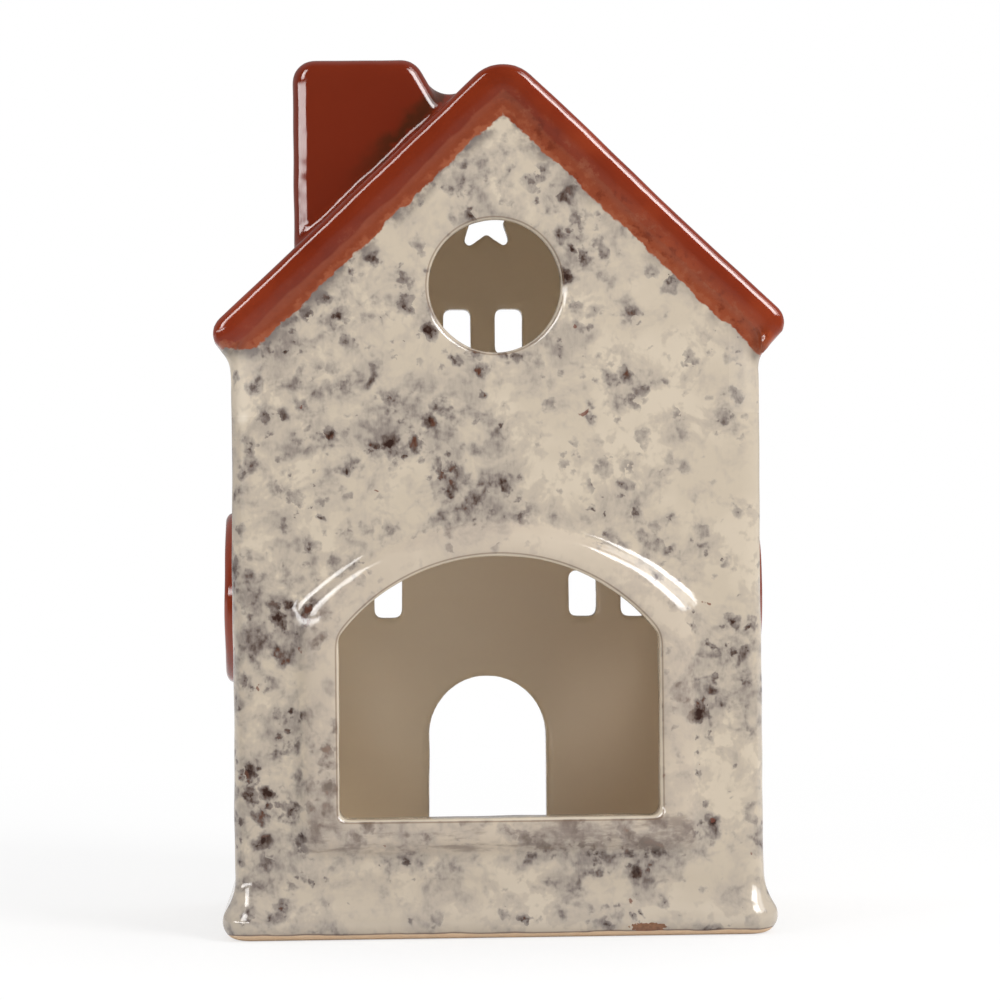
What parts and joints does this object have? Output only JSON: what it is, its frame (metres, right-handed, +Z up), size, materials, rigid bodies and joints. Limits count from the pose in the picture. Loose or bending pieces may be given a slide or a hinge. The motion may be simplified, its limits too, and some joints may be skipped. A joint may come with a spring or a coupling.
{
  "type": "tealight house",
  "caption": "Glazed clay house that holds a tealight: arched candle opening, round gable hole, street door, paired windows, star and chimney.",
  "frame": {"origin": "centre of the flat underside that the house stands on", "axes": "+Z up; the candle side with the large arched opening faces -Y; the street side with the door faces +Y; +X to the right as seen from the candle side"},
  "size_m": [0.127, 0.0946, 0.1966],
  "materials": {
    "wall_glaze": "glossy cream glaze with sponged grey clouds",
    "roof_glaze": "glossy brick red glaze",
    "raw_clay": "matt unglazed clay",
    "cup_metal": "thin drawn sheet",
    "wax": "satin white wax",
    "tab_metal": "tinned",
    "wick": "waxed cotton"
  },
  "bodies": {
    "house": {"floor_slab": "raw_clay", "foot_ring": "wall_glaze", "candle_side_wall": "wall_glaze", "street_side_wall": "wall_glaze", "left_side_wall": "wall_glaze", "right_side_wall": "wall_glaze", "left_roof_slab": "roof_glaze", "right_roof_slab": "roof_glaze", "chimney": "roof_glaze", "candle_opening_arch": "wall_glaze", "candle_opening_sill": "wall_glaze", "door_surround": "wall_glaze", "upper_window_surround": "wall_glaze", "left_window_surround": "wall_glaze", "right_window_surround": "wall_glaze", "left_side_window_ring": "roof_glaze", "right_side_window_ring": "roof_glaze"},
    "tealight": {"tealight_cup": "cup_metal", "tealight_wax": "wax", "tealight_wick_tab": "tab_metal", "tealight_wick": "wick"}
  },
  "joints": [
    {"name": "tealight_draw_out", "type": "slide", "parent": "house", "child": "tealight", "axis": [0, -0.788, 0.6157], "range_m": [0, 0.105]}
  ]
}
